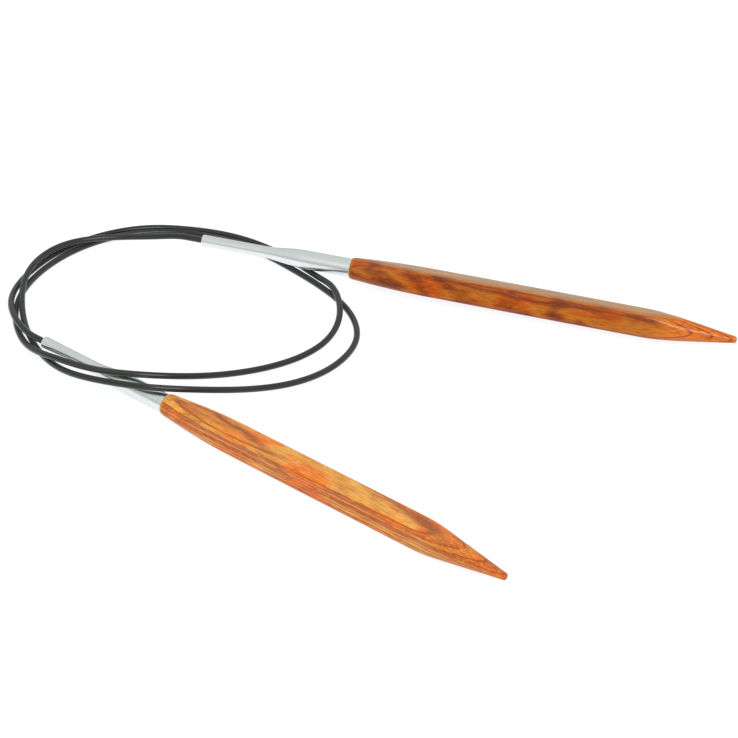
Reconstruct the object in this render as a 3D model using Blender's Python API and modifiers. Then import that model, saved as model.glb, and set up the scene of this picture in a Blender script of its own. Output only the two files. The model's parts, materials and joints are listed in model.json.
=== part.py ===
"""Circular knitting needle: two square laminated-wood tips joined by one long flexible cable.

Each tip is a hollow tapered metal ferrule with a wooden needle glued into its wide end. The cable
turns freely in the ferrule's narrow mouth: its end is stripped to the core and crimped into a collar,
which a bush keeps from pulling out and a plug keeps from sliding in. The cable lies in two loose turns.

Metres, +Z up, the table is z = 0. The origin is under the middle of the two tips. Each needle has its
own frame, an empty at the ferrule's mouth: local +Z runs along the needle to its point, and local +X is
the normal of the flat that faces up.
"""

import math

import bmesh
import bpy
import numpy as np
from mathutils import Matrix, Vector

MM = 0.001

# Wooden tip
FLAT_ACROSS = 6.0 * MM  # across the flats of the square section
CORNER_RADIUS = 1.1 * MM
WOOD_LENGTH = 94.0 * MM  # shoulder at the ferrule to the point
WOOD_BASE_RADIUS = 2.62 * MM  # round end that meets the ferrule
BASE_TAPER_LENGTH = 14.0 * MM  # from the round base to the full square
BASE_EDGE_ROUND = 0.35 * MM
POINT_LENGTH = 20.0 * MM
POINT_RADIUS = 0.75 * MM
TENON_LENGTH = 10.0 * MM

# Ferrule
FERRULE_LENGTH = 38.5 * MM
FERRULE_WALL = 0.38 * MM  # round the tenon; the nose has what its bore leaves
NOSE_RADIUS = 1.4 * MM
NOSE_LENGTH = 15.5 * MM
SOCKET_RADIUS = 2.3 * MM
SOCKET_LENGTH = 12.0 * MM
MOUTH_ROUND = 0.2 * MM

# Cable and its end fitting
CABLE_RADIUS = 0.75 * MM
CORE_RADIUS = 0.4 * MM
BUSH_LENGTH = 3.0 * MM
BUSH_WALL = 0.19 * MM
BUSH_RECESS = 0.3 * MM
COLLAR_LENGTH = 4.5 * MM
PLUG_LENGTH = 2.0 * MM
FLEX_POINT_A = 3.0 * MM  # the middle of the bend just outside mouth A
FLEX_POINT_B = 1.8 * MM  # nearer at B, where the cable's own turns pass close by
EXIT_RUN = 1.2 * MM  # the free cable starts with a straight run of this length

# Clearances
GLUE_GAP = 0.03 * MM  # tenon in socket, and shoulder against ferrule
PRESS_GAP = 0.02 * MM  # bush and plug in the bore, collar on the core
RUNNING_GAP = 0.06 * MM  # cable in bush, collar in bore
END_GAP = 0.3 * MM  # between parts along the axis, and between lengths of cable
STRAND_LIFT = 0.05 * MM  # cable above the table

# Where the tips lie: the middle of the ferrule's mouth, then heading, rise towards the cable and roll,
# in degrees
MOUTH_A = (-45.15 * MM, 61.61 * MM, 4.47 * MM)
HEADING_A = -17.94
RISE_A = 0.49
ROLL_A = -18.0
MOUTH_B = (-79.56 * MM, 20.52 * MM)
HEADING_B = -38.8

# The cable's route in millimetres, from tip A to tip B: out of A, round the left end, over ferrule B,
# back under ferrule A, and round once more to B. These places were not chosen by hand from the start:
# a script read them off a fitted curve at even steps, and some were then moved by hand.
ROUTE_MM = (
    (-56.5, 64.3, 3.85),
    (-68.0, 65.3, 2.9),
    (-79.0, 62.4, 2.8),
    (-86.0, 52.9, 2.9),
    (-87.3, 41.4, 2.45),
    (-85.3, 30.0, 1.1),
    (-80.7, 19.4, 0.95),
    (-74.0, 9.9, 2.6),
    (-65.0, 2.8, 4.96),
    (-54.5, -1.6, 6.42),
    (-43.0, -1.1, 5.27),
    (-32.0, 2.1, 3),
    (-21.4, 6.8, 1.4),
    (-12.4, 14.2, 0.8),
    (-7.4, 24.6, 0.8),
    (-9.1, 35.9, 0.8),
    (-15.4, 45.9, 0.8),
    (-23.3, 54.5, 0.8),
    (-32.0, 62.4, 0.8),
    (-42.0, 68.3, 0.8),
    (-53.1, 70.9, 0.8),
    (-64.7, 69.8, 0.8),
    (-75.0, 64.3, 0.8),
    (-82.8, 55.6, 0.8),
    (-87.5, 45.0, 0.8),
    (-88.0, 33.1, 0.8),
    (-84.3, 22.5, 1.1),
    (-77.0, 13.5, 3.8),
    (-67.6, 6.8, 5.47),
    (-56.5, 3.4, 6.22),
    (-45.2, 4.8, 4.68),
    (-34.7, 9.3, 2.3),
    (-24.5, 14.8, 1),
    (-15.6, 22.4, 0.8),
    (-11.4, 33.1, 1.6),
    (-13.4, 44.4, 2.55),
    (-16.4, 49.6, 1.45),
    (-20.0, 54.6, 0.8),
    (-27.8, 62.5, 0.8),
    (-37.6, 68.8, 0.8),
    (-48.9, 72.2, 0.8),
    (-60.5, 72.8, 0.8),
    (-71.8, 69.0, 0.8),
    (-80.9, 61.9, 0.8),
    (-87.2, 52.0, 1),
    (-89.7, 40.8, 2),
    (-87.6, 30.4, 3.05),
)

CABLE_POINTS = 96
TURNED_STEPS = 32
ARC_SEGMENTS = 7  # in each corner of the square section
HALF_TURN = math.pi
PARTS = "circular_knitting_needle"

BORE_RADIUS = CABLE_RADIUS + RUNNING_GAP + BUSH_WALL + PRESS_GAP
SOCKET_BORE_RADIUS = SOCKET_RADIUS - FERRULE_WALL
COLLAR_START = BUSH_RECESS + BUSH_LENGTH + END_GAP
PLUG_START = COLLAR_START + COLLAR_LENGTH + END_GAP


def clear_scene():
    for obj in list(bpy.data.objects):
        bpy.data.objects.remove(obj, do_unlink=True)


def new_collection():
    parts = bpy.data.collections.new(PARTS)
    bpy.context.scene.collection.children.link(parts)
    return parts


def material(name, color, roughness, metallic=0.0, coat=0.0):
    made = bpy.data.materials.new(name)
    made.use_nodes = True
    shader = made.node_tree.nodes["Principled BSDF"]
    shader.inputs["Base Color"].default_value = (*color, 1.0)
    shader.inputs["Roughness"].default_value = roughness
    shader.inputs["Metallic"].default_value = metallic
    shader.inputs["Coat Weight"].default_value = coat
    return made


def place(obj, parts, surface, parent=None):
    """Puts an object in the parts' collection with its material, in its needle's frame."""
    for collection in list(obj.users_collection):
        collection.objects.unlink(obj)
    parts.objects.link(obj)
    obj.data.materials.append(surface)
    obj.parent = parent
    return obj


def needle_frame(name, parts, mouth, heading_deg, rise_deg=0.0, roll_deg=0.0):
    """An empty at the ferrule's mouth, +Z along the needle to its point, +X up before the roll."""
    heading = math.radians(heading_deg)
    rise = math.radians(rise_deg)
    along = Vector(
        (
            math.cos(heading) * math.cos(rise),
            math.sin(heading) * math.cos(rise),
            -math.sin(rise),
        )
    )
    side = along.cross(Vector((0, 0, 1))).normalized()
    up = side.cross(along)
    turn = Matrix((up, along.cross(up), along)).transposed().to_4x4()
    frame = bpy.data.objects.new(name, None)
    frame.matrix_world = (
        Matrix.Translation(Vector(mouth)) @ turn @ Matrix.Rotation(math.radians(roll_deg), 4, "Z")
    )
    parts.objects.link(frame)
    return frame


def turned(name, profile, parts, surface, parent):
    """A profile of (radius, z) points swept round local Z. A closed loop makes a ring."""
    mesh = bpy.data.meshes.new(name)
    closed = min(radius for radius, _ in profile) > 0
    count = len(profile)
    edges = [(i, (i + 1) % count) for i in range(count if closed else count - 1)]
    mesh.from_pydata([(radius, 0.0, z) for radius, z in profile], edges, [])
    obj = place(bpy.data.objects.new(name, mesh), parts, surface, parent)
    screw = obj.modifiers.new("turned", "SCREW")
    screw.angle = 2 * HALF_TURN
    screw.steps = TURNED_STEPS
    screw.render_steps = TURNED_STEPS
    screw.use_merge_vertices = True
    screw.merge_threshold = 0.000001
    screw.use_smooth_shade = True
    return obj


def arc(radius, centre_r, centre_z, start_deg, end_deg, steps):
    """Points of a quarter round in the profile's plane, measured from +radius towards +z."""
    return [
        (
            centre_r + radius * math.cos(math.radians(a)),
            centre_z + radius * math.sin(math.radians(a)),
        )
        for a in np.linspace(start_deg, end_deg, steps)
    ]


def add_ferrule(name, parts, surface, frame):
    """A drawn tube: a narrow nose that the cable leaves, a flare, and a socket for the tenon."""
    flare_end = FERRULE_LENGTH - SOCKET_LENGTH
    outer = [(SOCKET_RADIUS, FERRULE_LENGTH)]
    inner = []
    flare_steps = 6
    for i in range(flare_steps + 1):
        share = i / flare_steps
        ease = share * share * (3 - 2 * share)
        z = NOSE_LENGTH + share * (flare_end - NOSE_LENGTH)
        outer.insert(1, (NOSE_RADIUS + ease * (SOCKET_RADIUS - NOSE_RADIUS), z))
        inner.append((BORE_RADIUS + ease * (SOCKET_BORE_RADIUS - BORE_RADIUS), z))
    mouth = arc(MOUTH_ROUND, NOSE_RADIUS - MOUTH_ROUND, MOUTH_ROUND, 0, -90, 4)
    profile = (
        outer + mouth + [(BORE_RADIUS, 0.0)] + inner + [(SOCKET_BORE_RADIUS, FERRULE_LENGTH)]
    )
    return turned(name, profile, parts, surface, frame)


def add_ring(name, inner, outer, start, length, parts, surface, frame):
    end = start + length
    profile = [(outer, end), (outer, start), (inner, start), (inner, end)]
    return turned(name, profile, parts, surface, frame)


def add_cable_end(name, flex_point, parts, surface, frame):
    """The cable's last length: domed where it meets the free cable, bare core inside the collar."""
    core_end = COLLAR_START + COLLAR_LENGTH
    jacket_end = BUSH_RECESS + BUSH_LENGTH + END_GAP / 2
    dome_centre = -flex_point + CABLE_RADIUS + END_GAP / 2
    dome = arc(CABLE_RADIUS, 0.0, dome_centre, 0, -90, 6)
    profile = [
        (0.0, core_end),
        (CORE_RADIUS, core_end),
        (CORE_RADIUS, jacket_end),
        (CABLE_RADIUS, jacket_end),
    ]
    profile += dome[:-1]
    profile.append((0.0, dome_centre - CABLE_RADIUS))
    return turned(name, profile, parts, surface, frame)


def section(half_width, corner, z):
    """A square with round corners, level at z. A corner as large as the half width makes a circle."""
    points = []
    for quarter in range(4):
        middle = math.radians(45 + 90 * quarter)
        reach = (half_width - corner) * math.sqrt(2)
        for i in range(ARC_SEGMENTS + 1):
            angle = middle + math.radians(90) * (i / ARC_SEGMENTS - 0.5)
            x = reach * math.cos(middle) + corner * math.cos(angle)
            y = reach * math.sin(middle) + corner * math.sin(angle)
            points.append((x, y, z))
    return points


def corner_for(half_width, reach):
    """The corner radius that gives a square of this half width this reach along its diagonal."""
    return min(half_width, (math.sqrt(2) * half_width - reach) / (math.sqrt(2) - 1))


def wood_sections():
    """(z, half width, corner radius) of each ring of the wooden tip, from the tenon to the point.

    Both ends are turned: where the cone is narrower than the square's corners, it cuts them away.
    """
    half = FLAT_ACROSS / 2
    full_reach = math.sqrt(2) * (half - CORNER_RADIUS) + CORNER_RADIUS
    tenon = SOCKET_BORE_RADIUS - GLUE_GAP
    base = FERRULE_LENGTH + GLUE_GAP
    tip = FERRULE_LENGTH + WOOD_LENGTH
    rings = [(base - TENON_LENGTH, tenon, tenon), (base, tenon, tenon)]
    for angle in (0, 45, 90):
        a = math.radians(angle)
        radius = WOOD_BASE_RADIUS - BASE_EDGE_ROUND * (1 - math.sin(a))
        rings.append((base + BASE_EDGE_ROUND * (1 - math.cos(a)), radius, radius))
    start = base + BASE_EDGE_ROUND
    for share in (0.2, 0.4, 0.6, 0.8, 1.0):
        reach = WOOD_BASE_RADIUS + share * (full_reach - WOOD_BASE_RADIUS)
        width = min(reach, half)
        rings.append((start + share * BASE_TAPER_LENGTH, width, corner_for(width, reach)))
    point_start = tip - POINT_LENGTH
    dome_start = tip - POINT_RADIUS * 0.6
    for share in (0.0, 0.08, 0.16, 0.24, 0.6, 1.0):
        reach = full_reach + share * (POINT_RADIUS - full_reach)
        width = min(reach, half)
        z = point_start + share * (dome_start - point_start)
        rings.append((z, width, corner_for(width, reach)))
    for angle in (30, 60, 80):
        a = math.radians(angle)
        width = POINT_RADIUS * math.cos(a)
        rings.append((dome_start + (tip - dome_start) * math.sin(a), width, width))
    return rings


def add_wooden_tip(name, parts, surface, frame):
    """A loft from the round tenon through the rounded square to the blunt point."""
    model = bmesh.new()
    rings = [
        [model.verts.new(point) for point in section(width, corner, z)]
        for z, width, corner in wood_sections()
    ]
    count = len(rings[0])
    for lower, upper in zip(rings, rings[1:]):
        for i in range(count):
            j = (i + 1) % count
            model.faces.new((lower[i], lower[j], upper[j], upper[i]))
    model.faces.new(list(reversed(rings[0])))
    model.faces.new(rings[-1])
    bmesh.ops.remove_doubles(model, verts=model.verts, dist=1e-7)
    mesh = bpy.data.meshes.new(name)
    model.to_mesh(mesh)
    model.free()
    mesh.shade_smooth()
    mesh.set_sharp_from_angle(angle=math.radians(35))
    return place(bpy.data.objects.new(name, mesh), parts, surface, frame)


def smooth_curve(points, count):
    """A natural cubic spline through the points, by chord length, read at even steps of its length."""
    points = np.asarray(points, float)
    knots = np.r_[0, np.cumsum(np.linalg.norm(np.diff(points, axis=0), axis=1))]
    step = np.diff(knots)
    size = len(knots)
    matrix = np.eye(size)
    right = np.zeros_like(points)
    slope = np.diff(points, axis=0) / step[:, None]
    for i in range(1, size - 1):
        matrix[i, i - 1 : i + 2] = step[i - 1], 2 * (step[i - 1] + step[i]), step[i]
        right[i] = 6 * (slope[i] - slope[i - 1])
    bend = np.linalg.solve(matrix, right)

    def read(at):
        i = np.clip(np.searchsorted(knots, at) - 1, 0, size - 2)
        after = (at - knots[i])[:, None]
        before = (knots[i + 1] - at)[:, None]
        h = step[i][:, None]
        curve = (bend[i] * before**3 + bend[i + 1] * after**3) / (6 * h)
        curve += (points[i] / h - bend[i] * h / 6) * before
        curve += (points[i + 1] / h - bend[i + 1] * h / 6) * after
        return curve

    fine = np.linspace(0, knots[-1], 20 * count)
    along = np.r_[0, np.cumsum(np.linalg.norm(np.diff(read(fine), axis=0), axis=1))]
    return read(np.interp(np.linspace(0, along[-1], count), along, fine))


def straight_run(frame, flex_point):
    """The free cable's first points, in line with its ferrule, from the flex point outwards."""
    start = -flex_point - END_GAP / 2
    return [
        frame.matrix_world @ Vector((0, 0, start - run)) for run in (0, EXIT_RUN / 2, EXIT_RUN)
    ]


def cable_route(frame_a, frame_b):
    """The free cable's points: straight out of A, along the route, and straight into B."""
    out = straight_run(frame_a, FLEX_POINT_A)
    back = straight_run(frame_b, FLEX_POINT_B)
    middle = [Vector(point) * MM for point in ROUTE_MM]
    points = smooth_curve(out + middle + back[::-1], CABLE_POINTS)
    lowest = CABLE_RADIUS + STRAND_LIFT
    points[:, 2] = np.maximum(points[:, 2], lowest)
    return points


def add_cable(parts, surface, frame_a, frame_b):
    """The free cable, a round tube along its route."""
    points = cable_route(frame_a, frame_b)
    curve = bpy.data.curves.new("cable", "CURVE")
    curve.dimensions = "3D"
    curve.bevel_depth = CABLE_RADIUS
    curve.bevel_resolution = 2
    curve.use_fill_caps = True
    spline = curve.splines.new("POLY")
    spline.points.add(len(points) - 1)
    spline.points.foreach_set("co", np.c_[points, np.ones(len(points))].ravel())
    spline.use_smooth = True
    return place(bpy.data.objects.new("cable", curve), parts, surface)


def add_needle(letter, flex_point, frame, parts, surfaces):
    """One tip with everything inside its ferrule."""
    wood, metal, fitting, polymer = surfaces
    add_wooden_tip(f"wooden_tip_{letter}", parts, wood, frame)
    add_ferrule(f"ferrule_{letter}", parts, metal, frame)
    add_ring(
        f"mouth_bush_{letter}",
        CABLE_RADIUS + RUNNING_GAP,
        CABLE_RADIUS + RUNNING_GAP + BUSH_WALL,
        BUSH_RECESS,
        BUSH_LENGTH,
        parts,
        fitting,
        frame,
    )
    add_ring(
        f"crimp_collar_{letter}",
        CORE_RADIUS + PRESS_GAP,
        BORE_RADIUS - RUNNING_GAP,
        COLLAR_START,
        COLLAR_LENGTH,
        parts,
        fitting,
        frame,
    )
    add_cable_end(f"cable_end_{letter}", flex_point, parts, polymer, frame)
    bpy.ops.mesh.primitive_cylinder_add(
        vertices=TURNED_STEPS,
        radius=BORE_RADIUS - PRESS_GAP,
        depth=PLUG_LENGTH,
        location=(0, 0, PLUG_START + PLUG_LENGTH / 2),
    )
    plug = bpy.context.object
    plug.name = f"chamber_plug_{letter}"
    place(plug, parts, fitting, frame)


def main():
    clear_scene()
    parts = new_collection()
    surfaces = (
        material("laminated_wood", (0.62, 0.2, 0.04), 0.28, coat=0.8),
        material("polished_nickel", (0.72, 0.74, 0.76), 0.16, metallic=1.0),
        material("stainless_fitting", (0.55, 0.55, 0.56), 0.35, metallic=1.0),
        material("cable_polymer", (0.02, 0.021, 0.022), 0.34),
    )
    frame_a = needle_frame("needle_a_frame", parts, MOUTH_A, HEADING_A, RISE_A, ROLL_A)
    frame_b = needle_frame("needle_b_frame", parts, (*MOUTH_B, FLAT_ACROSS / 2), HEADING_B)
    bpy.context.view_layer.update()
    add_needle("a", FLEX_POINT_A, frame_a, parts, surfaces)
    add_needle("b", FLEX_POINT_B, frame_b, parts, surfaces)
    add_cable(parts, surfaces[3], frame_a, frame_b)


main()
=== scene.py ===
"""Looks of a circular knitting needle: square laminated tips, polished ferrules, a black cable.

Metres, +Z up, and the table is z = 0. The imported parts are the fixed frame. Each needle has its own
frame at its ferrule's mouth: `along` runs to the point, `flat` is the normal of the flat that faces
up, and `edge` is square to both.
"""

import json
import logging
import math
from dataclasses import dataclass, field
from enum import Enum
from typing import TypeAlias

import bpy
import numpy as np
from mathutils import Euler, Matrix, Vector


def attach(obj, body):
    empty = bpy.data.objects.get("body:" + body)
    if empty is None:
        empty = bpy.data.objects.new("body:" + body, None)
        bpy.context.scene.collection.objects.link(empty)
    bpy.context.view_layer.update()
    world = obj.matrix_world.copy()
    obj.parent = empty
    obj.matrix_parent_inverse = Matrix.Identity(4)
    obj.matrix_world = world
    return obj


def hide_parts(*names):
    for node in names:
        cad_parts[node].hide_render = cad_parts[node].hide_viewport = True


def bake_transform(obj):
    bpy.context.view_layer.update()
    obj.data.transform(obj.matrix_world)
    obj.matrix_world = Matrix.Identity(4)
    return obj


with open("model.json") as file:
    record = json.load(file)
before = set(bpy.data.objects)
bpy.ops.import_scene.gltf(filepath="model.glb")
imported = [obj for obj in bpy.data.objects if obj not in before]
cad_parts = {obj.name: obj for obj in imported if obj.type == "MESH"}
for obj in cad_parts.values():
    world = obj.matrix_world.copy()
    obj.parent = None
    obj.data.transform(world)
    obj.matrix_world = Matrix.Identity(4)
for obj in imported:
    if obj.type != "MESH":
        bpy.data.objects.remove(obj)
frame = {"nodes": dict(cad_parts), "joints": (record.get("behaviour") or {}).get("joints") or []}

MM = 0.001
TURN = 2.0 * math.pi
SHARP_EDGE_DEG = 40.0  # a surface that folds more than this shades as an edge
LOG = logging.getLogger("circular_needle")

Triple: TypeAlias = tuple[float, float, float]
Feed: TypeAlias = "Socket | float | tuple[float, ...]"


class Socket:
    """A shader node's output, with arithmetic that adds Math nodes."""

    def __init__(self, graph: "Graph", output: bpy.types.NodeSocket) -> None:
        """Wraps a node's output, which belongs to one material's graph."""
        self.graph = graph
        self.output = output

    def __add__(self, other: Feed) -> "Socket":
        """Self plus other."""
        return self.graph.math("ADD", self, other)

    __radd__ = __add__

    def __sub__(self, other: Feed) -> "Socket":
        """Self minus other."""
        return self.graph.math("SUBTRACT", self, other)

    def __rsub__(self, other: Feed) -> "Socket":
        """Other minus self."""
        return self.graph.math("SUBTRACT", other, self)

    def __mul__(self, other: Feed) -> "Socket":
        """Self times other."""
        return self.graph.math("MULTIPLY", self, other)

    __rmul__ = __mul__

    def __truediv__(self, other: Feed) -> "Socket":
        """Self divided by other."""
        return self.graph.math("DIVIDE", self, other)


class Graph:
    """Builds the nodes of one material round its Principled shader."""

    COLOUR_FACTOR, COLOUR_A, COLOUR_B, COLOUR_OUT = 0, 6, 7, 2

    def __init__(self, name: str) -> None:
        """Starts a material.

        Args:
            name: the material's name.
        """
        self.material = bpy.data.materials.new(name)
        self.material.use_nodes = True
        self.tree = self.material.node_tree
        self.shader = self.tree.nodes["Principled BSDF"]

    def node(
        self,
        kind: str,
        settings: dict[str, object] | None = None,
        inputs: dict[str | int, Feed] | None = None,
        output: str | int = 0,
    ) -> Socket:
        """Adds any node.

        Args:
            kind: the node's type.
            settings: its properties. A ramp takes "stops", (place, colour) pairs, and "steps" for
                colours with no blend between them.
            inputs: the value or link of each socket.
            output: the socket to return.

        Returns:
            The chosen output.
        """
        made = self.tree.nodes.new(kind)
        for key, value in (settings or {}).items():
            if key == "stops":
                self.set_stops(made.color_ramp, value)
            elif key == "steps":
                made.color_ramp.interpolation = "CONSTANT"
            else:
                setattr(made, key, value)
        for key, value in (inputs or {}).items():
            self.feed(made.inputs[key], value)
        return Socket(self, made.outputs[output])

    @staticmethod
    def set_stops(ramp: bpy.types.ColorRamp, stops: tuple[tuple[float, Triple], ...]) -> None:
        """Gives a ramp its stops.

        Args:
            ramp: the ramp, with no more stops than it is given.
            stops: (place, colour) pairs in order.
        """
        while len(ramp.elements) < len(stops):
            ramp.elements.new(1.0)
        for element, (place, colour) in zip(ramp.elements, stops):
            element.position = place
            element.color = (*colour, 1.0)

    def feed(self, socket: bpy.types.NodeSocket, value: Feed) -> None:
        """Links a Socket, or sets a number or a colour.

        Args:
            socket: the input.
            value: what it takes.
        """
        if isinstance(value, Socket):
            self.tree.links.new(value.output, socket)
        elif isinstance(value, tuple) and socket.type == "RGBA":
            socket.default_value = (*value, 1.0)
        else:
            socket.default_value = value

    def math(self, operation: str, *values: Feed) -> Socket:
        """A Math node's output, from the node's operation and its values in order."""
        return self.node("ShaderNodeMath", {"operation": operation}, dict(enumerate(values)))

    def step(self, value: Feed, low: float, high: float) -> Socket:
        """A smooth step.

        Args:
            value: what it follows.
            low: where it is 0.
            high: where it is 1.

        Returns:
            The step, 0 to 1.
        """
        return self.node(
            "ShaderNodeMapRange",
            {"interpolation_type": "SMOOTHSTEP"},
            {"Value": value, "From Min": low, "From Max": high},
        )

    def mix(self, factor: Feed, first: Feed, second: Feed) -> Socket:
        """Mixes two colours.

        Args:
            factor: the second's share.
            first: the colour at 0.
            second: the colour at 1.

        Returns:
            The colour between them.
        """
        return self.node(
            "ShaderNodeMix",
            {"data_type": "RGBA", "clamp_result": True},
            {self.COLOUR_FACTOR: factor, self.COLOUR_A: first, self.COLOUR_B: second},
            self.COLOUR_OUT,
        )

    def tinted(
        self, colour: Socket, tint: Feed, share: Feed, value: Socket, low: float, high: float
    ) -> Socket:
        """Tints a colour where a value is high.

        The tint's share is the value's smooth step times the greatest share.

        Args:
            colour: the colour so far.
            tint: what it turns to.
            share: the greatest share of the tint.
            value: what the step follows.
            low: the value with no tint.
            high: the value with the most.

        Returns:
            The tinted colour.
        """
        return self.mix(self.step(value, low, high) * share, colour, tint)

    def part(self, vector: Socket, axis: int) -> Socket:
        """One component of a vector, along axis 0, 1 or 2."""
        return self.node("ShaderNodeSeparateXYZ", None, {0: vector}, axis)

    def moved(self, vector: Socket, distance: float) -> Socket:
        """The vector moved the same distance along each axis."""
        return self.node(
            "ShaderNodeVectorMath", {"operation": "ADD"}, {0: vector, 1: (distance,) * 3}
        )

    def stretched(self, vector: Socket, scale: Triple) -> Socket:
        """The vector with each axis scaled."""
        return self.node("ShaderNodeMapping", None, {"Vector": vector, "Scale": scale})

    def noise(self, vector: Socket, scale: Triple, detail: float) -> Socket:
        """Noise with its own scale on each axis.

        Args:
            vector: where it is read.
            scale: how fine it is along each axis, per unit of the vector.
            detail: how many finer layers it has.

        Returns:
            Its value, about 0 to 1.
        """
        return self.node(
            "ShaderNodeTexNoise",
            None,
            {"Vector": self.stretched(vector, scale), "Scale": 1.0, "Detail": detail},
        )

    def attribute(self, name: str) -> Socket:
        """A vector that the mesh stores under a name."""
        return self.node(
            "ShaderNodeAttribute", {"attribute_name": name}, None, output="Vector"
        )

    def bump(self, height: Socket, strength: float, distance: float) -> Socket:
        """A bumped normal.

        Args:
            height: the surface's height.
            strength: how much of the bump shows.
            distance: how high a height of 1 is, in metres.

        Returns:
            The normal.
        """
        return self.node(
            "ShaderNodeBump", None, {"Height": height, "Strength": strength, "Distance": distance}
        )

    def finish(self, **sockets: Feed) -> bpy.types.Material:
        """Feeds the shader.

        Args:
            **sockets: its inputs, with _ for a space.

        Returns:
            The finished material.
        """
        for name, value in sockets.items():
            self.feed(self.shader.inputs[name.replace("_", " ")], value)
        return self.material


class Veneers(Enum):
    """The local axis that the wood's layers are square to."""

    LEVEL_WITH_TOP_FLAT = 0
    UPRIGHT = 1


class Figure(Enum):
    """The wood's noises: how fine they are across, across and along the grain, and their detail."""

    WAVE = ((0.13, 0.13, 0.040), 2.0)
    CLOUD = ((0.30, 0.30, 0.07), 3.0)
    GLOW = ((0.26, 0.26, 0.09), 3.0)
    FIBRE = ((3.2, 3.2, 0.30), 5.0)
    PALE_FIBRE = ((4.2, 4.2, 0.42), 4.0)
    BROKEN_SEAM = ((0.9, 0.9, 0.10), 3.0)
    BAR_BEND = ((0.14, 0.14, 0.05), 2.0)
    BAR = ((0.42, 0.42, 0.17), 6.0)
    PORE = ((8.0, 8.0, 0.8), 3.0)
    FLECK = ((5.5, 5.5, 0.9), 2.0)

    def read(self, g: Graph, grain: Socket, apart: float = 0.0) -> Socket:
        """Reads the noise.

        Args:
            g: the material's node builder.
            grain: the place in the wood.
            apart: how far off it is read, so that two noises don't run together.

        Returns:
            Its value, about 0 to 1.
        """
        scale, detail = self.value
        return g.noise(g.moved(grain, apart) if apart else grain, scale, detail)


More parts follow.
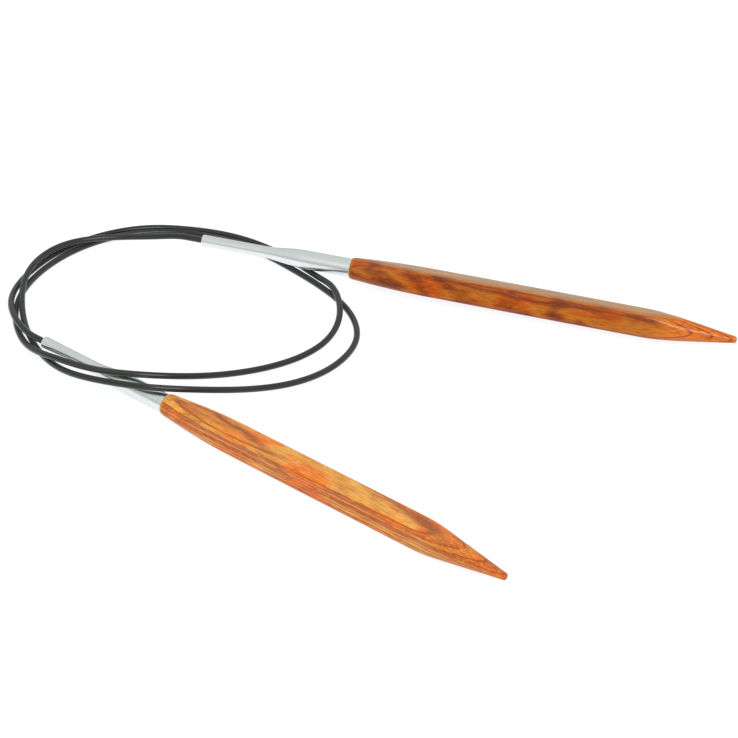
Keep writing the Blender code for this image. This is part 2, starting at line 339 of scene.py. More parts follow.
@dataclass(frozen=True)
class LaminatedWood:
    """Dyed veneers glued into a block, cut at a shallow angle, under clear gloss lacquer.

    Places are in the needle's own frame, in mm from the ferrule's mouth.
    """

    veneers: Veneers
    dyes: tuple[Triple, ...]  # the veneers take these in turn
    golden: Triple
    flame: Triple
    rust: Triple
    umber: Triple
    lean: float  # veneers climbed per mm across them
    rise: float  # veneers climbed per mm of length
    shift: float  # veneers that the whole block is moved by
    start: float  # moves the noise, so that no two tips match
    curl: float  # strength of the dark bars that curly grain makes across the length
    cloud: float  # strength of the paler, golden clouds
    glow: float  # strength of the redder clouds
    cone: Triple  # what the turned point tends to
    cone_share: float
    painted_top_light: float  # painted light: how much paler the flat that faces up is painted, as if lit from above
    tan: Triple = (0.40, 0.235, 0.080)
    flat: float = 3.0  # from the axis to a flat
    cone_start: float = 111.0
    layer: float = 0.78  # thickness of a veneer
    pivot: float = 60.0  # where along the length the slope counts from
    wander: float = 0.45  # veneers that the waviness moves them by
    curl_pitch: float = 12.0
    curl_end: float = 106.0  # the bars are gone from here to the point
    base: float = 38.5  # where the wood starts
    point: float = 132.5  # where it ends

    def count(self, g: Graph, place: Socket, grain: Socket) -> Socket:
        """Counts the veneers up to a place.

        It is the distance square to the veneers over their thickness, plus a slope across them, a
        slope along the length and slow noise.

        Args:
            g: the material's node builder.
            place: the place in the needle's frame.
            grain: the same, moved for the noise.

        Returns:
            The count, a whole number at each glue line.
        """
        across = g.part(place, self.veneers.value)
        beside = g.part(place, 1 - self.veneers.value)
        wave = Figure.WAVE.read(g, grain)
        level = across / self.layer + beside * self.lean
        slope = (g.part(place, 2) - self.pivot) * self.rise
        return level + slope + (wave - 0.5) * (2.0 * self.wander) + self.shift

    def dyed(self, g: Graph, number: Socket) -> Socket:
        """Each veneer's own colour.

        The dyes repeat, so it is a ramp with hard steps read at the fraction of number / dyes.

        Args:
            g: the material's node builder.
            number: the veneer's number.

        Returns:
            The colour.
        """
        size = len(self.dyes)
        stops = tuple((k / size, dye) for k, dye in enumerate(self.dyes))
        turn = g.math("FRACT", (number + 0.5) / size)
        return g.node("ShaderNodeValToRGB", {"stops": stops, "steps": True}, {"Fac": turn})

    def seams(self, g: Graph, colour: Socket, within: Socket, grain: Socket) -> Socket:
        """Dark glue lines with a rusty edge, worn away in places.

        Args:
            g: the material's node builder.
            colour: the wood so far.
            within: how far a place is through its veneer, 0 to 1.
            grain: the place in the wood.

        Returns:
            The wood with its seams.
        """
        edge = g.math("ABSOLUTE", within - 0.5)
        broken = g.step(Figure.BROKEN_SEAM.read(g, grain), 0.26, 0.52)
        colour = g.tinted(colour, self.rust, broken * 0.80, edge, 0.30, 0.48)
        return g.tinted(colour, self.umber, broken * 0.65, edge, 0.44, 0.50)

    def curly(
        self, g: Graph, colour: Socket, grain: Socket, fibre: Socket, length: Socket
    ) -> Socket:
        """Fuzzy dark bars across the length, gone before the point.

        They are a sine of the length that noise bends, plus noise that breaks it up.

        Args:
            g: the material's node builder.
            colour: the wood so far.
            grain: the place in the wood.
            fibre: the fine fibre, which the bars' cores follow.
            length: the place along the needle.

        Returns:
            The wood with its bars.
        """
        turns = g.part(grain, 2) / self.curl_pitch + Figure.BAR_BEND.read(g, grain) * 2.6
        wave = g.math("SINE", turns * TURN)
        bars = wave * 0.30 + Figure.BAR.read(g, grain) * 2.3
        strength = self.curl * (1.0 - g.step(length, self.curl_end - 8.0, self.curl_end))
        colour = g.tinted(colour, self.rust, strength, bars, 0.85, 1.55)
        core = (0.20 + fibre * 1.3) * strength
        return g.tinted(colour, self.umber, core, bars, 1.20, 1.75)

    def ends(self, g: Graph, colour: Socket, place: Socket, length: Socket) -> Socket:
        """Painted light on the top flat, and what the lathe and the dye bath did: the flat that faces
        up painted paler as if lit from above, a pale rim, a dyed point.

        Args:
            g: the material's node builder.
            colour: the wood so far.
            place: the place in the needle's frame.
            length: the place along the needle.

        Returns:
            The wood with its ends.
        """
        top = g.part(place, 0)
        # painted light: the flat that faces up is tinted paler towards tan, as if lit from above
        colour = g.tinted(colour, self.tan, self.painted_top_light, top, self.flat - 0.45, self.flat - 0.05)
        rim = 1.0 - g.step(length, self.base + 0.15, self.base + 0.75)
        colour = g.mix(rim * 0.75, colour, self.golden)
        return g.tinted(colour, self.cone, 0.6, length, self.point - 1.6, self.point - 0.1)

    def material(self, name: str) -> bpy.types.Material:
        """Dyed veneers, clouds, fibre, seams, bars, pores and lacquer, in that order.

        Args:
            name: the material's name.

        Returns:
            The material.
        """
        g = Graph(name)
        place = g.attribute("grain")
        length = g.part(place, 2)
        grain = g.moved(place, self.start)
        count = self.count(g, place, grain)
        number = g.math("FLOOR", count)
        cloud, fibre = Figure.CLOUD.read(g, grain), Figure.FIBRE.read(g, grain)
        pore = Figure.PORE.read(g, grain)
        colour = self.dyed(g, number)
        colour = g.tinted(colour, self.golden, self.cloud, cloud, 0.44, 0.68)
        red = Figure.GLOW.read(g, grain, 19.0)
        colour = g.tinted(colour, self.flame, self.glow, red, 0.47, 0.62)
        turned_share = (0.35 + cloud * 1.1) * self.cone_share
        turned_end = self.cone_start + 9.0
        colour = g.tinted(colour, self.cone, turned_share, length, self.cone_start, turned_end)
        colour = g.tinted(colour, self.rust, 0.65, fibre, 0.44, 0.70)
        pale = Figure.PALE_FIBRE.read(g, grain, 37.0)
        colour = g.tinted(colour, self.golden, 0.65, pale, 0.50, 0.74)
        colour = self.seams(g, colour, count - number, grain)
        colour = self.curly(g, colour, grain, fibre, length)
        colour = g.tinted(colour, self.umber, 0.55, pore, 0.54, 0.74)
        fleck = Figure.FLECK.read(g, grain, 71.0)
        colour = g.tinted(colour, self.golden, 0.45, fleck, 0.54, 0.80)
        return g.finish(
            Base_Color=self.ends(g, colour, place, length),
            Roughness=0.36 + fibre * 0.18,
            Normal=g.bump(fibre + pore * 0.5, 0.10, 0.02 * MM),
            Specular_IOR_Level=0.05,
            Coat_Weight=0.50 + cloud * 0.20,
            Coat_Roughness=0.10,
            Coat_IOR=1.48,
        )


@dataclass(frozen=True)
class PolishedNickel:
    """Nickel plate, polished along the tube, with faint hairlines and finger haze."""

    tint: Triple = (0.80, 0.815, 0.81)
    haze: Triple = (0.72, 0.735, 0.73)

    def material(self, name: str) -> bpy.types.Material:
        """Plate with slow haze and fine hairlines along the tube.

        Args:
            name: the material's name.

        Returns:
            The material.
        """
        g = Graph(name)
        grain = g.attribute("grain")
        cloud = g.noise(grain, (0.35, 0.35, 0.12), 3.0)
        hair = g.noise(grain, (14.0, 14.0, 0.4), 2.0)
        return g.finish(
            Base_Color=g.mix(g.step(cloud, 0.45, 0.70) * 0.7, self.tint, self.haze),
            Roughness=0.20 + cloud * 0.12 + hair * 0.05,
            Normal=g.bump(hair, 0.06, 0.004 * MM),
            Metallic=1.0,
        )


@dataclass(frozen=True)
class TurnedSteel:
    """Stainless steel as it leaves the lathe, for the fittings inside the ferrules."""

    tint: Triple = (0.50, 0.50, 0.51)
    shade: Triple = (0.36, 0.36, 0.38)

    def material(self, name: str) -> bpy.types.Material:
        """Steel with the fine marks of the lathe.

        Args:
            name: the material's name.

        Returns:
            The material.
        """
        g = Graph(name)
        place = g.node("ShaderNodeTexCoord", None, None, "Object")
        marks = g.noise(place, (9000.0, 9000.0, 9000.0), 2.0)
        return g.finish(
            Base_Color=g.mix(marks * 0.5, self.tint, self.shade),
            Roughness=0.28 + marks * 0.16,
            Metallic=1.0,
        )


@dataclass(frozen=True)
class CableCoat:
    """Smooth black nylon over the cable's core, a little dull where it has been handled."""

    black: Triple = (0.012, 0.0118, 0.0100)
    worn: Triple = (0.034, 0.033, 0.029)

    def material(self, name: str) -> bpy.types.Material:
        """Black coat, paler and duller in worn stretches.

        Args:
            name: the material's name.

        Returns:
            The material.
        """
        g = Graph(name)
        grain = g.attribute("grain")
        handled = g.noise(grain, (0.8, 0.8, 0.05), 3.0)
        fine = g.noise(grain, (6.0, 6.0, 0.8), 2.0)
        return g.finish(
            Base_Color=g.mix(g.step(handled, 0.40, 0.75), self.black, self.worn),
            Roughness=0.15 + handled * 0.16 + fine * 0.06,
            Normal=g.bump(fine, 0.10, 0.006 * MM),
        )


@dataclass(frozen=True)
class ClearLacquer:
    """The bead of lacquer that closes the joint between wood and metal."""

    amber: Triple = (0.62, 0.36, 0.16)
    pale: Triple = (0.80, 0.66, 0.46)

    def material(self, name: str) -> bpy.types.Material:
        """Amber lacquer, paler where it ran thin.

        Args:
            name: the material's name.

        Returns:
            The material.
        """
        g = Graph(name)
        runs = g.noise(g.attribute("grain"), (0.9, 0.9, 2.0), 2.0)
        return g.finish(
            Base_Color=g.mix(g.step(runs, 0.35, 0.65), self.amber, self.pale),
            Roughness=0.12 + runs * 0.08,
            Coat_Weight=1.0,
            Coat_Roughness=0.04,
        )


@dataclass(frozen=True)
class WhiteTable:
    """A matt white sheet lit from below, which leaves only the faintest shadows."""

    sheet: Triple = (0.20, 0.20, 0.20)
    mottled: Triple = (0.19, 0.19, 0.19)
    glow: Triple = (0.84, 0.86, 0.89)

    def material(self, name: str) -> bpy.types.Material:
        """A faintly mottled white that glows.

        Args:
            name: the material's name.

        Returns:
            The material.
        """
        g = Graph(name)
        place = g.node("ShaderNodeTexCoord", None, None, "Object")
        mottle = g.noise(place, (9.0, 9.0, 9.0), 2.0)
        return g.finish(
            Base_Color=g.mix(mottle, self.sheet, self.mottled),
            Roughness=0.8,
            Specular_IOR_Level=0.0,
            Emission_Color=self.glow,
            Emission_Strength=1.0,
        )


@dataclass(frozen=True)
class NeedleFrame:
    """Where a needle lies: its ferrule's mouth and three directions square to each other."""

    mouth: np.ndarray
    flat: np.ndarray
    edge: np.ndarray
    along: np.ndarray

    @classmethod
    def at_swivel(cls, name: str, roll_deg: float) -> "NeedleFrame":
        """Reads the frame from the needle's swivel joint.

        Args:
            name: the joint's name.
            roll_deg: how far the needle is rolled about its own axis.

        Returns:
            The frame.
        """
        joint = next(j for j in frame["joints"] if j["name"] == name)
        along = np.array(joint["axis"]) / np.linalg.norm(joint["axis"])
        level = np.cross(along, (0.0, 0.0, 1.0))
        level /= np.linalg.norm(level)
        up = np.cross(level, along)
        roll = math.radians(roll_deg)
        flat = up * math.cos(roll) + level * math.sin(roll)
        return cls(np.array(joint["pos_m"]), flat, np.cross(along, flat), along)

    def place(self, local: np.ndarray) -> np.ndarray:
        """World places of (..., 3) local ones: the mouth plus each part along its direction."""
        return self.mouth + local @ np.stack((self.flat, self.edge, self.along))


def smooth_min(first: np.ndarray, second: np.ndarray, blend: float) -> np.ndarray:
    """The smaller of two lengths, rounded over where they meet.

    It is their minimum less (blend - difference) squared over 4 blend, where they differ by less
    than blend.

    Args:
        first: one length.
        second: the other.
        blend: the difference at which the rounding starts.

    Returns:
        The rounded minimum.
    """
    near = np.maximum(blend - np.abs(first - second), 0.0)
    return np.minimum(first, second) - near * near / (4.0 * blend)


def rounded_square(angle: np.ndarray, half: float, corner: float) -> np.ndarray:
    """The polar radius of a square with round corners.

    Folded into the eighth from 0 to 45 degrees, it is half / cos(angle) up to where the corner
    starts. Past that it is where the ray meets the corner's circle, whose middle lies on the
    diagonal.

    Args:
        angle: the angle from a flat's normal.
        half: half the width across the flats.
        corner: the corner's radius.

    Returns:
        The radius at each angle.
    """
    quarter = np.mod(angle + math.pi / 4, math.pi / 2) - math.pi / 4
    folded = np.abs(quarter)
    middle = (half - corner) * math.sqrt(2.0)
    off = math.pi / 4 - folded
    root = np.sqrt(np.maximum(corner**2 - (middle * np.sin(off)) ** 2, 0.0))
    on_flat = np.tan(folded) <= (half - corner) / half
    return np.where(on_flat, half / np.cos(folded), middle * np.cos(off) + root)


def skin(
    name: str,
    rings: np.ndarray,
    grain: np.ndarray,
    finish: bpy.types.Material,
    ring_loop: bool = False,
) -> bpy.types.Object:
    """Joins rings of points into one closed surface that faces outwards.

    Face (i, j) has the corners (i, j), (i, j + 1), (i + 1, j + 1) and (i + 1, j), where i counts the
    rings and j the points round each. An open run of rings gets a fan of triangles at each end, from
    the end ring's mean.

    Args:
        name: the piece's name.
        rings: (rings, points, 3) in world metres.
        grain: (rings, points, 3), where each point lies in the material's own frame, in mm.
        finish: the material.
        ring_loop: joins the last ring to the first, as on a tube with a wall.

    Returns:
        The piece, at the origin.
    """
    count, around = rings.shape[:2]
    i = np.arange(count if ring_loop else count - 1)[:, None]
    j = np.arange(around)[None, :]
    after, beside = (i + 1) % count, (j + 1) % around
    quads = np.stack(
        [i * around + j, i * around + beside, after * around + beside, after * around + j], axis=-1
    ).reshape(-1, 4)
    points, lie = rings.reshape(-1, 3), grain.reshape(-1, 3)
    fans = np.zeros((0, 3), int)
    if not ring_loop:
        points = np.vstack((points, rings[0].mean(axis=0), rings[-1].mean(axis=0)))
        lie = np.vstack((lie, grain[0].mean(axis=0), grain[-1].mean(axis=0)))
        turn = np.arange(around)
        ahead = (turn + 1) % around
        start = np.full(around, count * around)
        last = (count - 1) * around
        fans = np.vstack(
            (
                np.stack([ahead, turn, start], axis=1),
                np.stack([last + turn, last + ahead, start + 1], axis=1),
            )
        )
    thirds = np.vstack((quads[:, [0, 1, 2]], quads[:, [0, 2, 3]], fans))
    corners = points[thirds]
    if np.einsum("ij,ij->", corners[:, 0], np.cross(corners[:, 1], corners[:, 2])) < 0:
        quads, fans = quads[:, ::-1], fans[:, ::-1]
    mesh = bpy.data.meshes.new(name)
    mesh.from_pydata(points, [], quads.tolist() + fans.tolist())
    mesh.attributes.new("grain", "FLOAT_VECTOR", "POINT").data.foreach_set("vector", lie.ravel())
    mesh.shade_smooth()
    mesh.set_sharp_from_angle(angle=math.radians(SHARP_EDGE_DEG))
    mesh.materials.append(finish)
    piece = bpy.data.objects.new(name, mesh)
    bpy.context.scene.collection.objects.link(piece)
    return piece


def turned(
    name: str,
    profile: np.ndarray,
    place: NeedleFrame,
    finish: bpy.types.Material,
    around: int,
    ring_loop: bool,
) -> bpy.types.Object:
    """Sweeps a profile round a needle's axis.

    A point (radius, z) goes to (radius cos t, radius sin t, z) for every angle t.

    Args:
        name: the piece's name.
        profile: (points, 2), radius and place along the axis, in metres.
        place: the needle's frame.
        finish: the material.
        around: steps in a turn.
        ring_loop: whether the profile is closed.

    Returns:
        The piece.
    """
    angle = np.linspace(0.0, TURN, around, endpoint=False)
    radius, z = profile[:, :1], profile[:, 1:]
    local = np.stack(
        (radius * np.cos(angle), radius * np.sin(angle), z + 0.0 * angle), axis=-1
    )
    return skin(name, place.place(local), local / MM, finish, ring_loop)


def round_over(
    radius: float, middle: tuple[float, float], start: float, end: float, points: int = 9
) -> np.ndarray:
    """An arc of a profile: the middle plus radius times (cos a, sin a).

    Args:
        radius: the arc's radius.
        middle: its middle, as (radius, z).
        start: the first angle, in degrees from the outward direction towards +z.
        end: the last angle.
        points: how many points the arc has.

    Returns:
        (points, 2) places.
    """
    angle = np.radians(np.linspace(start, end, points))
    return np.stack((middle[0] + radius * np.cos(angle), middle[1] + radius * np.sin(angle)), axis=1)


@dataclass
class WoodenTip:
    """The square wooden needle: a tenon, a turned shoulder, a square body and a turned point."""

    place: NeedleFrame
    wood: LaminatedWood
    ferrule_length: float = 38.5 * MM
    length: float = 94.0 * MM
    across_flats: float = 6.0 * MM
    corner: float = 1.1 * MM
    base_radius: float = 2.62 * MM
    base_taper: float = 14.0 * MM
    base_round: float = 0.40 * MM
    point_length: float = 20.0 * MM
    point_radius: float = 0.75 * MM
    tenon_radius: float = 1.89 * MM
    tenon_length: float = 10.0 * MM
    edge_blend: float = 0.50 * MM  # how softly the turned cones run out into the flats
    hand_finish: float = 0.018 * MM  # the unevenness that sanding leaves
    slow_wave: float = 9.0 * MM  # how slowly it changes along the needle
    turning_wave: float = 23.0 * MM  # how slowly it turns round it
    dome: float = 0.6  # the point's dome, as a share of its radius
    seat: float = 0.03 * MM  # keeps the shoulder off the ferrule's end
    around: int = 144
    body_rings: int = 150
    cone_rings: int = 110

    def reach(self, z: np.ndarray) -> np.ndarray:
        """The turned cones' radius.

        It is the smaller of a line that opens from the base to the square's corners over base_taper,
        and one that closes to point_radius at the point.

        Args:
            z: places from the shoulder.

        Returns:
            The radius at each.
        """
        half = self.across_flats / 2
        full = math.sqrt(2.0) * (half - self.corner) + self.corner
        opening = self.base_radius + z / self.base_taper * (full - self.base_radius)
        closing = self.point_radius + (self.length - z) / self.point_length * (
            full - self.point_radius
        )
        return np.minimum(opening, closing)

    def outline(self) -> tuple[np.ndarray, np.ndarray]:
        """The profile that the lathe leaves: tenon, rounded base, body, cone and a round dome.

        Returns:
            The z of each ring, from the shoulder, and its radius.
        """
        tenon = np.array([[-self.tenon_length, self.tenon_radius], [self.seat, self.tenon_radius]])
        arc = round_over(
            self.base_round,
            (self.base_radius - self.base_round, self.base_round + self.seat),
            -90.0,
            0.0,
        )
        dome_start = self.length - self.point_radius * self.dome
        cone_start = self.length - self.point_length
        body = np.linspace(self.base_round + 0.3 * MM, cone_start - 3.0 * MM, self.body_rings)
        cone = np.linspace(cone_start - 2.6 * MM, dome_start, self.cone_rings)
        turn = np.radians(np.linspace(8.0, 88.0, 12))
        dome_z = dome_start + (self.length - dome_start) * np.sin(turn)
        dome_r = self.reach(np.array([dome_start]))[0] * np.cos(turn)
        z = np.concatenate((tenon[:, 0], arc[:, 1], body, cone, dome_z))
        radius = np.concatenate(
            (tenon[:, 1], arc[:, 0], self.reach(body), self.reach(cone), dome_r)
        )
        return z, radius

    def build(self, letter: str) -> bpy.types.Object:
        """Builds the tip as one surface.

        The radius at (angle, z) is the smooth minimum of the rounded square and the lathe's radius,
        plus two slow waves of hand_finish.

        Args:
            letter: names the needle.

        Returns:
            The piece.
        """
        z, lathe = self.outline()
        angle = np.linspace(0.0, TURN, self.around, endpoint=False)
        square = rounded_square(angle, self.across_flats / 2, self.corner)
        radius = smooth_min(square[None, :], lathe[:, None], self.edge_blend)
        body = np.clip((lathe - self.base_radius) / (1.0 * MM), 0.0, 1.0)[:, None]
        slow = np.sin(z[:, None] / self.slow_wave + self.wood.start)
        turn = np.sin(2.0 * angle[None, :] + z[:, None] / self.turning_wave)
        radius = radius + self.hand_finish * 0.5 * body * (slow + turn)
        along = z[:, None] + self.ferrule_length + 0.0 * angle[None, :]
        local = np.stack(
            (radius * np.cos(angle)[None, :], radius * np.sin(angle)[None, :], along), axis=-1
        )
        piece = skin(
            f"wood_body_{letter}",
            self.place.place(local),
            local / MM,
            self.wood.material(f"laminated_wood_{letter}"),
        )
        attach(piece, f"needle_{letter}")
        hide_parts(f"wooden_tip_{letter}")
        return piece


@dataclass
class Ferrule:
    """The drawn metal tube: narrow nose, long flare and socket, with a lacquer bead at the wood."""

    place: NeedleFrame
    metal: bpy.types.Material
    lacquer: bpy.types.Material
    length: float = 38.5 * MM
    wall: float = 0.38 * MM
    nose_radius: float = 1.4 * MM
    nose_length: float = 15.5 * MM
    socket_radius: float = 2.3 * MM
    socket_length: float = 12.0 * MM
    mouth_round: float = 0.18 * MM
    rim: float = 0.08 * MM  # the rounding at the wood
    bead_size: float = 0.22 * MM
    around: int = 96

    def outside(self, z: np.ndarray) -> np.ndarray:
        """The outer radius: the nose's, then a smooth step up the flare to the socket's.

        Args:
            z: places from the mouth.

        Returns:
            The radius at each.
        """
        share = np.clip(
            (z - self.nose_length) / (self.length - self.socket_length - self.nose_length), 0.0, 1.0
        )
        ease = share * share * (3.0 - 2.0 * share)
        return self.nose_radius + ease * (self.socket_radius - self.nose_radius)

    def build(self, letter: str) -> list[bpy.types.Object]:
        """The tube's profile runs down the outside, round the mouth and back up the bore.

        Args:
            letter: names the needle.

        Returns:
            The tube and the bead.
        """
        lip = round_over(
            self.rim, (self.socket_radius - self.rim, self.length - self.rim), 90.0, 0.0
        )
        down = np.linspace(self.length - 1.5 * self.rim, self.mouth_round, 120)
        outside = np.stack((self.outside(down), down), axis=1)
        mouth = round_over(
            self.mouth_round, (self.nose_radius - self.mouth_round, self.mouth_round), 0.0, -90.0
        )
        up = np.linspace(0.0, self.length, 60)
        bore = np.stack((self.outside(up) - self.wall, up), axis=1)
        profile = np.vstack((lip, outside, mouth[1:], bore))
        tube = turned(
            f"ferrule_shell_{letter}", profile, self.place, self.metal, self.around, True
        )
        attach(tube, f"needle_{letter}")
        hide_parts(f"ferrule_{letter}")
        bead = self.bead(letter)
        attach(bead, f"needle_{letter}")
        return [tube, bead]

    def bead(self, letter: str) -> bpy.types.Object:
        """A hollow fillet of lacquer from the tube's side to the wood's end face.

        Its surface is a quarter of a circle that leaves the tube and the wood at a tangent.

        Args:
            letter: names the needle.

        Returns:
            The piece.
        """
        size = self.bead_size
        low, high = self.socket_radius + 0.01 * MM, self.length + 0.02 * MM
        curve = round_over(size, (low + size, high - size), 180.0, 90.0)
        corner = np.array([[low, high]])
        return turned(
            f"lacquer_bead_{letter}",
            np.vstack((curve, corner)),
            self.place,
            self.lacquer,
            self.around,
            True,
        )


def spline(points: np.ndarray, count: int) -> np.ndarray:
    """A natural cubic spline through the points, by chord length, at even steps of its length.

    The bends at the points solve the usual three-term equations, and each span is the cubic with
    those bends at its ends.

    Args:
        points: (n, 3) places to pass through.
        count: how many points to return.

    Returns:
        (count, 3) points.
    """
    chord = np.linalg.norm(np.diff(points, axis=0), axis=1)
    knots = np.concatenate(([0.0], np.cumsum(chord)))
    slope = np.diff(points, axis=0) / chord[:, None]
    matrix = np.diag(np.concatenate(([1.0], 2.0 * (chord[:-1] + chord[1:]), [1.0])))
    matrix += np.diag(np.concatenate((chord[:-1], [0.0])), -1)
    matrix += np.diag(np.concatenate(([0.0], chord[1:])), 1)
    right = np.zeros_like(points)
    right[1:-1] = 6.0 * np.diff(slope, axis=0)
    bend = np.linalg.solve(matrix, right)

    def read(at: np.ndarray) -> np.ndarray:
        """Reads the spline.

        Args:
            at: chord lengths along it.

        Returns:
            The place at each.
        """
        i = np.clip(np.searchsorted(knots, at) - 1, 0, len(chord) - 1)
        before, after = (knots[i + 1] - at)[:, None], (at - knots[i])[:, None]
        h = chord[i][:, None]
        curve = (bend[i] * before**3 + bend[i + 1] * after**3) / (6.0 * h)
        curve += (points[i] / h - bend[i] * h / 6.0) * before
        return curve + (points[i + 1] / h - bend[i + 1] * h / 6.0) * after

    fine = np.linspace(0.0, knots[-1], 12 * count)
    run = np.linalg.norm(np.diff(read(fine), axis=0), axis=1)
    far = np.concatenate(([0.0], np.cumsum(run)))
    return read(np.interp(np.linspace(0.0, far[-1], count), far, fine))


def tube(
    name: str,
    path: np.ndarray,
    radius: np.ndarray,
    start: float,
    finish: bpy.types.Material,
    around: int = 20,
) -> bpy.types.Object:
    """A round tube along a path that never runs straight up.

    At each point the ring lies square to the path: the path's point plus radius times (cos t side +
    sin t up), where side is the path's direction crossed with +Z.

    Args:
        name: the piece's name.
        path: (n, 3) points.
        radius: (n,) the radius at each.
        start: the length at which the pattern starts.
        finish: the material.
        around: steps round the tube.

    Returns:
        The piece.
    """
    heading = np.gradient(path, axis=0)
    heading /= np.linalg.norm(heading, axis=1, keepdims=True)
    side = np.cross(heading, (0.0, 0.0, 1.0))
    side /= np.linalg.norm(side, axis=1, keepdims=True)
    up = np.cross(side, heading)
    angle = np.linspace(0.0, TURN, around, endpoint=False)
    cos, sin = np.cos(angle)[None, :, None], np.sin(angle)[None, :, None]
    spoke = side[:, None, :] * cos + up[:, None, :] * sin
    rings = path[:, None, :] + radius[:, None, None] * spoke
    run = np.linalg.norm(np.diff(path, axis=0), axis=1)
    far = start + np.concatenate(([0.0], np.cumsum(run)))
    grain = np.stack(
        (
            np.cos(angle)[None, :] * radius[:, None],
            np.sin(angle)[None, :] * radius[:, None],
            far[:, None] + 0.0 * angle[None, :],
        ),
        axis=-1,
    )
    return skin(name, rings, grain / MM, finish)


ROUTE = MM * np.array(
    [
        (-56.5, 64.3, 3.85),
        (-68.0, 65.3, 2.9),
        (-79.0, 62.4, 2.8),
        (-86.0, 52.9, 2.9),
        (-87.3, 41.4, 2.45),
        (-85.3, 30.0, 1.1),
        (-80.7, 19.4, 0.95),
        (-74.0, 9.9, 2.6),
        (-65.0, 2.8, 4.96),
        (-54.5, -1.6, 6.42),
        (-43.0, -1.1, 5.27),
        (-32.0, 2.1, 3.0),
        (-21.4, 6.8, 1.4),
        (-12.4, 14.2, 0.8),
        (-7.4, 24.6, 0.8),
        (-9.1, 35.9, 0.8),
        (-15.4, 45.9, 0.8),
        (-23.3, 54.5, 0.8),
        (-32.0, 62.4, 0.8),
        (-42.0, 68.3, 0.8),
        (-53.1, 70.9, 0.8),
        (-64.7, 69.8, 0.8),
        (-75.0, 64.3, 0.8),
        (-82.8, 55.6, 0.8),
        (-87.5, 45.0, 0.8),
        (-88.0, 33.1, 0.8),
        (-84.3, 22.5, 1.1),
        (-77.0, 13.5, 3.8),
        (-67.6, 6.8, 5.47),
        (-56.5, 3.4, 6.22),
        (-45.2, 4.8, 4.68),
        (-34.7, 9.3, 2.3),
        (-24.5, 14.8, 1.0),
        (-15.6, 22.4, 0.8),
        (-11.4, 33.1, 1.6),
        (-13.4, 44.4, 2.55),
        (-16.4, 49.6, 1.45),
        (-20.0, 54.6, 0.8),
        (-27.8, 62.5, 0.8),
        (-37.6, 68.8, 0.8),
        (-48.9, 72.2, 0.8),
        (-60.5, 72.8, 0.8),
        (-71.8, 69.0, 0.8),
        (-80.9, 61.9, 0.8),
        (-87.2, 52.0, 1.0),
        (-89.7, 40.8, 2.0),
        (-87.6, 30.4, 3.05),
    ]
)
"""The cable's route: out of A, round the left end, over B, under A, and round again into B."""


@dataclass
class Cable:
    """The cable: one long run that lies loose, and a short neck into each ferrule."""

    place_a: NeedleFrame
    place_b: NeedleFrame
    coat: bpy.types.Material
    radius: float = 0.75 * MM
    core_radius: float = 0.4 * MM
    jacket_end: float = 3.45 * MM  # inside the ferrule, where the jacket is stripped
    core_end: float = 8.1 * MM
    flex_a: float = 3.0 * MM  # how far outside its mouth each joint bends
    flex_b: float = 1.8 * MM
    straight: float = 1.2 * MM
    gap: float = 0.15 * MM
    neck: float = 4.0 * MM  # how far a neck runs along the free cable
    lowest: float = 0.8 * MM
    steps: int = 1500
    neck_swell: float = 0.004 * MM  # covers the joint between a neck and the run
    neck_overlap: float = 0.5 * MM  # how much of the run a neck covers
    bend_margin: float = 0.2 * MM
    line: np.ndarray = field(init=False)

    def __post_init__(self) -> None:
        """Works out the free cable's line between the two flex points."""
        runs = np.array([0.0, self.straight / 2, self.straight])
        out = self.on_axis(self.place_a, -self.flex_a - self.gap - runs)
        back = self.on_axis(self.place_b, -self.flex_b - self.gap - runs)[::-1]
        self.line = spline(np.vstack((out, ROUTE, back)), self.steps)
        self.line[:, 2] = np.maximum(self.line[:, 2], self.lowest)

    @staticmethod
    def on_axis(place: NeedleFrame, z: np.ndarray) -> np.ndarray:
        """Points on a needle's axis, z metres from its mouth."""
        return place.mouth + np.atleast_1d(z)[:, None] * place.along

    def build_run(self) -> bpy.types.Object:
        """The free length, as one tube.

        Returns:
            The piece.
        """
        step = np.linalg.norm(np.diff(self.line, axis=0), axis=1).mean()
        cut = int(round((self.neck - self.neck_overlap) / step))
        path = self.line[cut:-cut]
        piece = tube(
            "cable_run", path, np.full(len(path), self.radius), self.neck, self.coat
        )
        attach(piece, "cable")
        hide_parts("cable")
        2.0 * self.radius
        return piece

    def build_neck(self, letter: str, place: NeedleFrame, flex: float) -> bpy.types.Object:
        """The length that leaves a ferrule and bends at its flex point.

        Inside the ferrule the jacket is stripped, so the radius steps down to the core's.

        Args:
            letter: names the needle.
            place: the needle's frame.
            flex: how far outside the mouth the joint bends.

        Returns:
            The piece.
        """
        near = self.line if letter == "a" else self.line[::-1]
        step = np.linalg.norm(np.diff(near, axis=0), axis=1).mean()
        free = near[: int(round(self.neck / step))]
        core = self.on_axis(place, np.linspace(self.core_end, self.jacket_end + 0.02 * MM, 12))
        jacket = self.on_axis(place, np.linspace(self.jacket_end, -flex - self.gap, 40)[:-1])
        path = np.vstack((core, jacket, free))
        radius = np.full(len(path), self.radius + self.neck_swell)
        radius[: len(core)] = self.core_radius
        piece = tube(f"cable_neck_{letter}", path, radius, -self.core_end, self.coat)
        start = self.on_axis(place, -self.bend_margin)[0]
        end = self.on_axis(place, -2.0 * flex + self.bend_margin)[0]
        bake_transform(piece)
        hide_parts(f"cable_end_{letter}")
        return piece


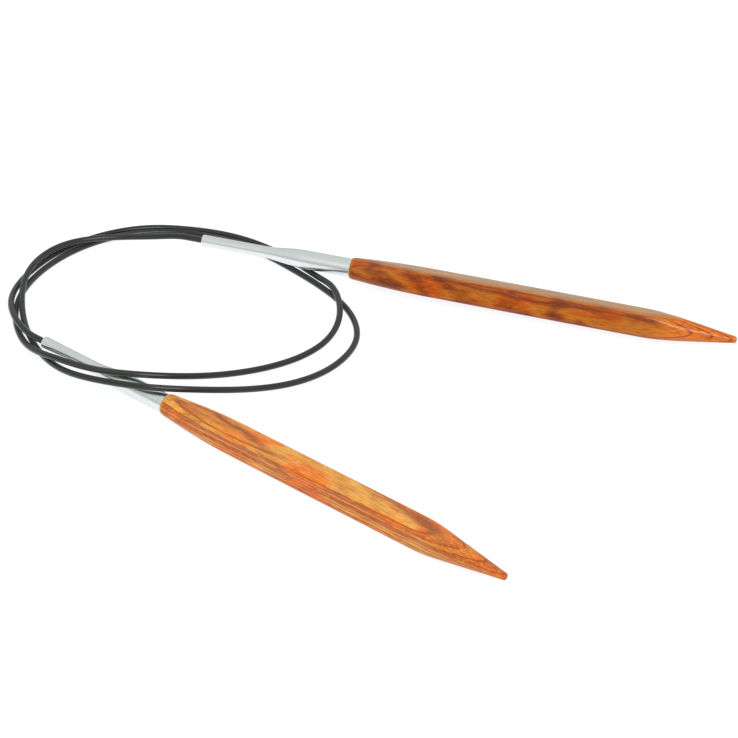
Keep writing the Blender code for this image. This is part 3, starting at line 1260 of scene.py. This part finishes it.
@dataclass
class Studio:
    """A white table under soft light, and the camera."""

    camera_place: Triple = (-0.0044, -0.43505, 0.32626)
    camera_down_deg: float = 36.0
    lens: float = 117.5
    sensor: float = 36.0
    sky: float = 0.76
    horizon: float = 0.50
    horizon_rise: float = 0.5  # the height in the sky at which it is brightest
    sky_colour: Triple = (0.94, 1.0, 0.98)
    overhead_place: Triple = (0.05, 0.1, 1.1)
    overhead_size: float = 1.3
    overhead_watts: float = 5.0
    front_place: Triple = (0.0, -0.468, 0.52)
    front_size: float = 0.34
    front_watts: float = 1.9
    table_half: float = 2.0

    def build(self) -> None:
        """Makes the table, the sky, the lights and the camera."""
        self.table()
        self.world()
        self.lights()
        self.camera()

    def table(self) -> None:
        """A square sheet."""
        half = self.table_half
        mesh = bpy.data.meshes.new("table_top")
        corners = [(-half, -half, 0.0), (half, -half, 0.0), (half, half, 0.0), (-half, half, 0.0)]
        mesh.from_pydata(corners, [], [(0, 1, 2, 3)])
        mesh.materials.append(WhiteTable().material("white_table"))
        sheet = bpy.data.objects.new("table_top", mesh)
        bpy.context.scene.collection.objects.link(sheet)

    def world(self) -> None:
        """An even pale sky, a little dimmer towards the horizon."""
        world = bpy.data.worlds.new("soft_sky")
        world.use_nodes = True
        tree = world.node_tree
        place = tree.nodes.new("ShaderNodeTexCoord")
        apart = tree.nodes.new("ShaderNodeSeparateXYZ")
        rise = tree.nodes.new("ShaderNodeMapRange")
        rise.interpolation_type = "SMOOTHSTEP"
        rise.inputs["From Max"].default_value = self.horizon_rise
        rise.inputs["To Min"].default_value = self.horizon
        rise.inputs["To Max"].default_value = self.sky
        tree.links.new(place.outputs["Generated"], apart.inputs[0])
        tree.links.new(apart.outputs[2], rise.inputs["Value"])
        background = tree.nodes["Background"]
        background.inputs["Color"].default_value = (*self.sky_colour, 1.0)
        tree.links.new(rise.outputs[0], background.inputs["Strength"])
        bpy.context.scene.world = world

    def lights(self) -> None:
        """A wide overhead light that keeps out of the reflections, and a small softbox in front."""
        self.area("overhead", self.overhead_place, self.overhead_size, self.overhead_watts, False)
        self.area("softbox", self.front_place, self.front_size, self.front_watts, True)

    def area(
        self, name: str, place: Triple, size: float, watts: float, in_reflections: bool
    ) -> None:
        """A square area light that faces the origin.

        Args:
            name: the light's name.
            place: where it is.
            size: its side, in metres.
            watts: its power.
            in_reflections: whether polished surfaces show it.
        """
        light = bpy.data.lights.new(name, "AREA")
        light.size = size
        light.energy = watts
        lamp = bpy.data.objects.new(name, light)
        lamp.location = place
        lamp.rotation_euler = (-Vector(place)).to_track_quat("-Z", "Y").to_euler()
        lamp.visible_glossy = in_reflections
        bpy.context.scene.collection.objects.link(lamp)

    def camera(self) -> None:
        """The camera looks along +Y and down, from in front of the needles."""
        data = bpy.data.cameras.new("camera")
        data.lens = self.lens
        data.sensor_width = self.sensor
        data.clip_start = 0.01
        camera = bpy.data.objects.new("camera", data)
        camera.location = self.camera_place
        camera.rotation_euler = Euler((math.radians(90.0 - self.camera_down_deg), 0.0, 0.0))
        bpy.context.scene.collection.objects.link(camera)
        bpy.context.scene.camera = camera
        bpy.context.scene.view_settings.view_transform = "Standard"


def dress_fittings(steel: bpy.types.Material) -> None:
    """Gives the small fittings inside the ferrules their steel.

    Args:
        steel: the material.
    """
    for name, node in frame["nodes"].items():
        if name.startswith(("mouth_bush", "crimp_collar", "chamber_plug")):
            node.data.materials.clear()
            node.data.materials.append(steel)
            LOG.info("%s keeps its own shape, in turned steel", name)


def main() -> None:
    """Builds each sub-assembly in order."""
    logging.basicConfig(level=logging.INFO, format="%(message)s")
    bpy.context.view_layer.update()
    nickel = PolishedNickel().material("polished_nickel")
    lacquer = ClearLacquer().material("clear_lacquer")
    place_a = NeedleFrame.at_swivel("swivel_a", roll_deg=-18.0)
    place_b = NeedleFrame.at_swivel("swivel_b", roll_deg=0.0)
    woods = {
        "a": LaminatedWood(
            Veneers.UPRIGHT,
            dyes=(
                (0.32, 0.048, 0.005),
                (0.46, 0.096, 0.006),
                (0.36, 0.058, 0.005),
                (0.46, 0.132, 0.010),
                (0.41, 0.090, 0.007),
            ),
            golden=(0.52, 0.190, 0.014),
            flame=(0.52, 0.070, 0.003),
            rust=(0.26, 0.036, 0.004),
            umber=(0.10, 0.024, 0.010),
            lean=0.16,
            rise=0.002,
            shift=-0.20,
            start=3.0,
            curl=0.85,
            cloud=0.38,
            glow=0.90,
            cone=(0.80, 0.180, 0.009),
            cone_share=0.85,
            painted_top_light=0.60,
        ),
        "b": LaminatedWood(
            Veneers.LEVEL_WITH_TOP_FLAT,
            dyes=(
                (0.40, 0.070, 0.008),
                (0.70, 0.215, 0.014),
                (0.42, 0.080, 0.008),
                (0.76, 0.340, 0.055),
                (0.72, 0.250, 0.018),
            ),
            golden=(0.77, 0.400, 0.095),
            flame=(0.84, 0.165, 0.004),
            rust=(0.38, 0.052, 0.004),
            umber=(0.16, 0.030, 0.006),
            lean=0.10,
            rise=-0.0167,
            shift=0.154,
            start=11.0,
            curl=0.18,
            cloud=0.42,
            glow=0.95,
            cone=(0.42, 0.080, 0.012),
            cone_share=0.50,
            painted_top_light=0.12,
        ),
    }
    for letter, place in (("a", place_a), ("b", place_b)):
        pieces = [WoodenTip(place, woods[letter]).build(letter)]
        pieces += Ferrule(place, nickel, lacquer).build(letter)
        for piece in pieces:
            LOG.info("%s: %d points", piece.name, len(piece.data.vertices))
    cable = Cable(place_a, place_b, CableCoat().material("black_cable_coat"))
    for piece in (
        cable.build_run(),
        cable.build_neck("a", place_a, cable.flex_a),
        cable.build_neck("b", place_b, cable.flex_b),
    ):
        LOG.info("%s: %d points", piece.name, len(piece.data.vertices))
    dress_fittings(TurnedSteel().material("turned_steel"))
    Studio().build()


if __name__ == "__main__":
    main()
